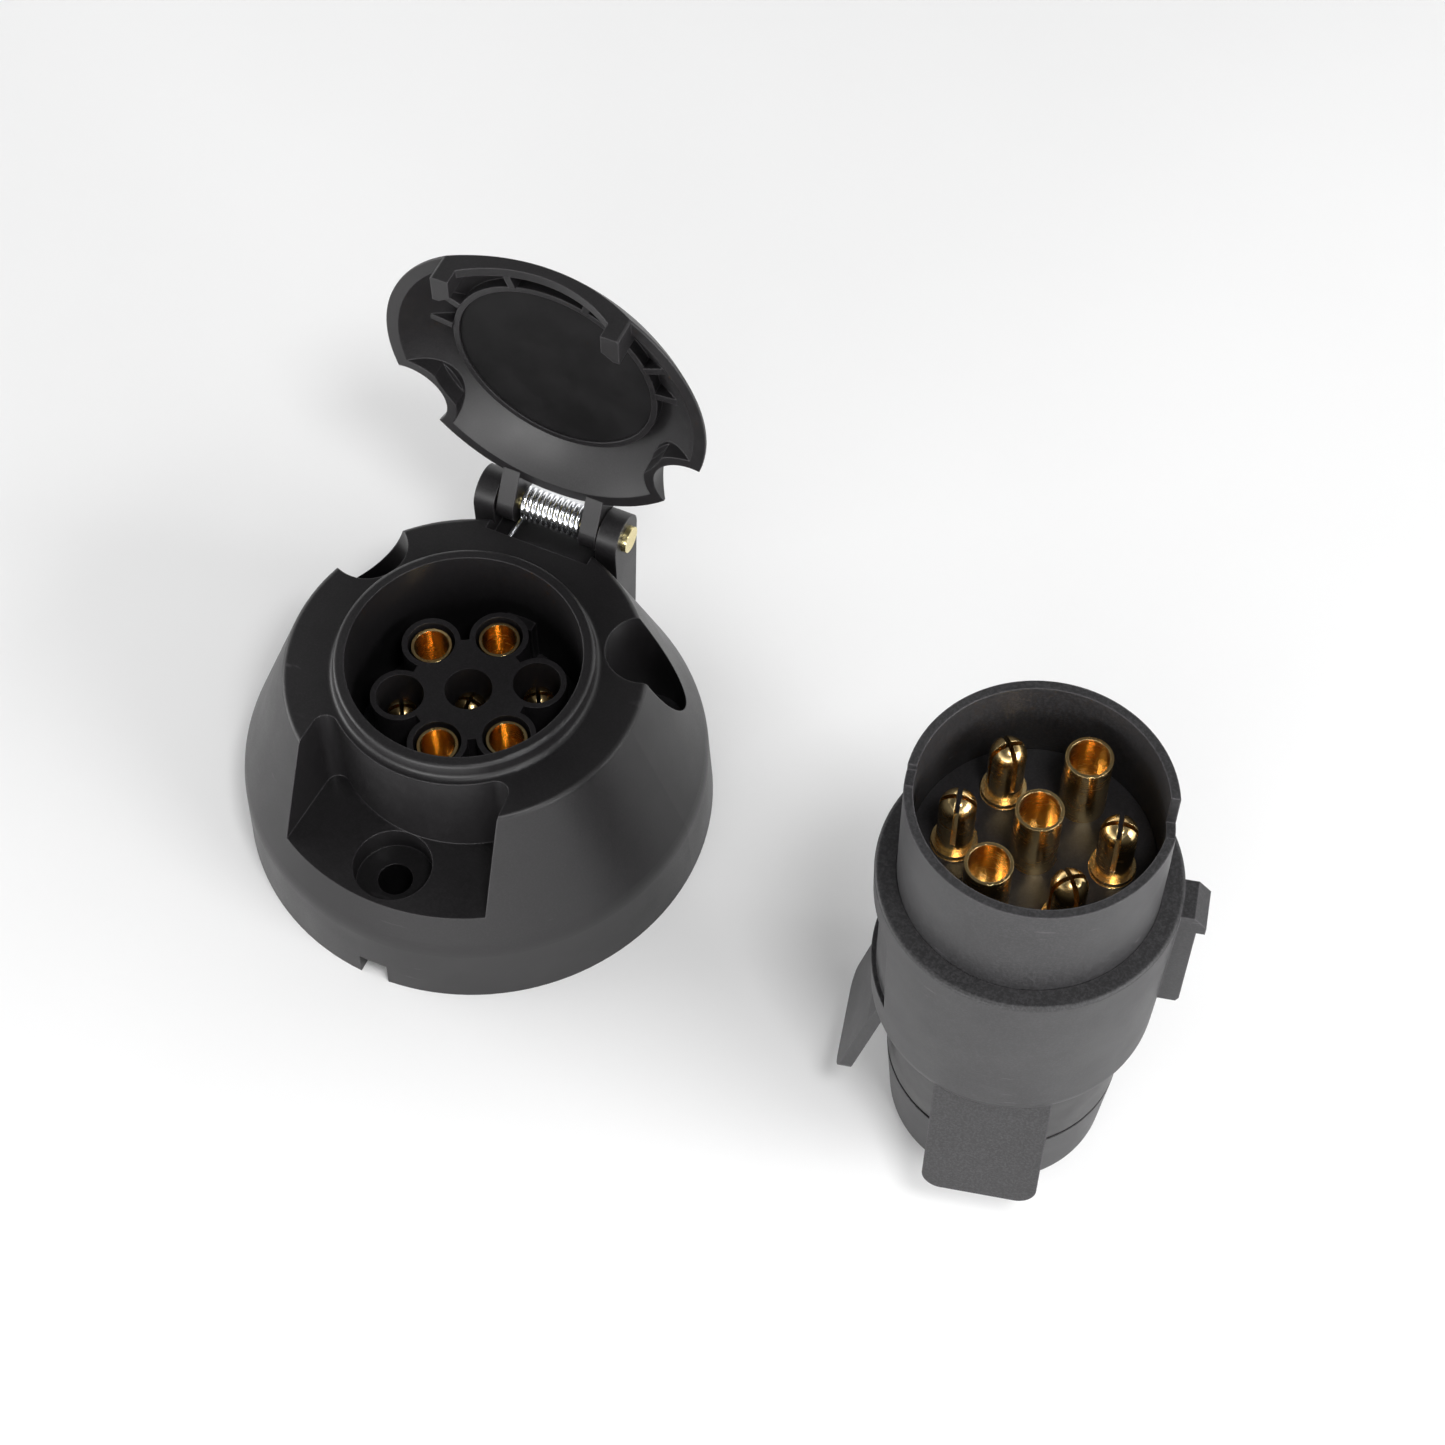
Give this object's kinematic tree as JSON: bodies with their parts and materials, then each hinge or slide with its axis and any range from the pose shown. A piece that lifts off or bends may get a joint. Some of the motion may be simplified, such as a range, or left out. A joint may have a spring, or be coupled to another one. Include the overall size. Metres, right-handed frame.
{
  "type": "trailer wiring connector",
  "caption": "Round trailer socket with a hinged lid and brass contacts, and its upright plug with a cable gland.",
  "frame": {"origin": "centre of the socket's mounting face, on the axis of its mouth", "axes": "+Z out of the socket's mouth, +Y towards the lid's hinge, +X towards the plug"},
  "size_m": [0.1603, 0.0848, 0.092],
  "materials": {
    "socket_plastic": "fine matte moulded black",
    "plug_plastic": "textured matte moulded black",
    "carrier_plastic": "smooth matte black",
    "contact_brass": "bright turned brass",
    "pin_brass": "yellow passivated brass",
    "zinc_steel": "bright zinc plated",
    "spring_steel": "bright drawn wire",
    "seal_rubber": "smooth soft rubber",
    "gland_rubber": "smooth dark rubber"
  },
  "bodies": {
    "socket": {"socket_housing": "socket_plastic", "socket_carrier": "carrier_plastic", "socket_tube_1": "contact_brass", "socket_tube_2": "contact_brass", "socket_tube_3": "contact_brass", "socket_tube_4": "contact_brass", "socket_pin_1": "contact_brass", "socket_pin_2": "contact_brass", "socket_pin_3": "contact_brass", "socket_terminal_screws": "zinc_steel", "carrier_screws": "zinc_steel", "hinge_pin": "pin_brass", "lid_spring": "spring_steel"},
    "lid": {"lid": "socket_plastic", "lid_seal": "seal_rubber"},
    "plug": {"plug_collar": "plug_plastic", "plug_carrier": "carrier_plastic", "plug_pin_1": "contact_brass", "plug_pin_2": "contact_brass", "plug_pin_3": "contact_brass", "plug_pin_4": "contact_brass", "plug_tube_1": "contact_brass", "plug_tube_2": "contact_brass", "plug_tube_3": "contact_brass", "plug_terminal_screws": "zinc_steel", "plug_carrier_screws": "zinc_steel", "plug_housing": "plug_plastic", "shell_screw": "zinc_steel", "cable_clamp": "carrier_plastic", "clamp_screws": "zinc_steel", "seal_ring": "gland_rubber"},
    "gland_washer": {"gland_washer": "carrier_plastic"},
    "gland_cap": {"gland_cap": "plug_plastic", "cable_grommet": "gland_rubber"}
  },
  "joints": [
    {"name": "lid_hinge", "type": "hinge", "parent": "socket", "child": "lid", "pos_m": [0, 0.032, 0.0375], "axis": [1, 0, 0], "range_deg": [-15, 90], "deforming": ["lid_spring"]},
    {"name": "plug_lift", "type": "slide", "parent": "socket", "child": "plug", "axis": [0, 0, 1], "range_m": [0, 0.06]},
    {"name": "cap_travel", "type": "slide", "parent": "plug", "child": "gland_washer", "axis": [0, 0, 1], "range_m": [-0.006, 0]},
    {"name": "cap_turn", "type": "hinge", "parent": "gland_washer", "child": "gland_cap", "pos_m": [0.0973, -0.016, 0.008], "axis": [0, 0, 1], "range_deg": [-720, 0]}
  ],
  "couplings": [
    {"joint": "cap_travel", "follows": "cap_turn", "m_per_rad": 0.00047746}
  ]
}
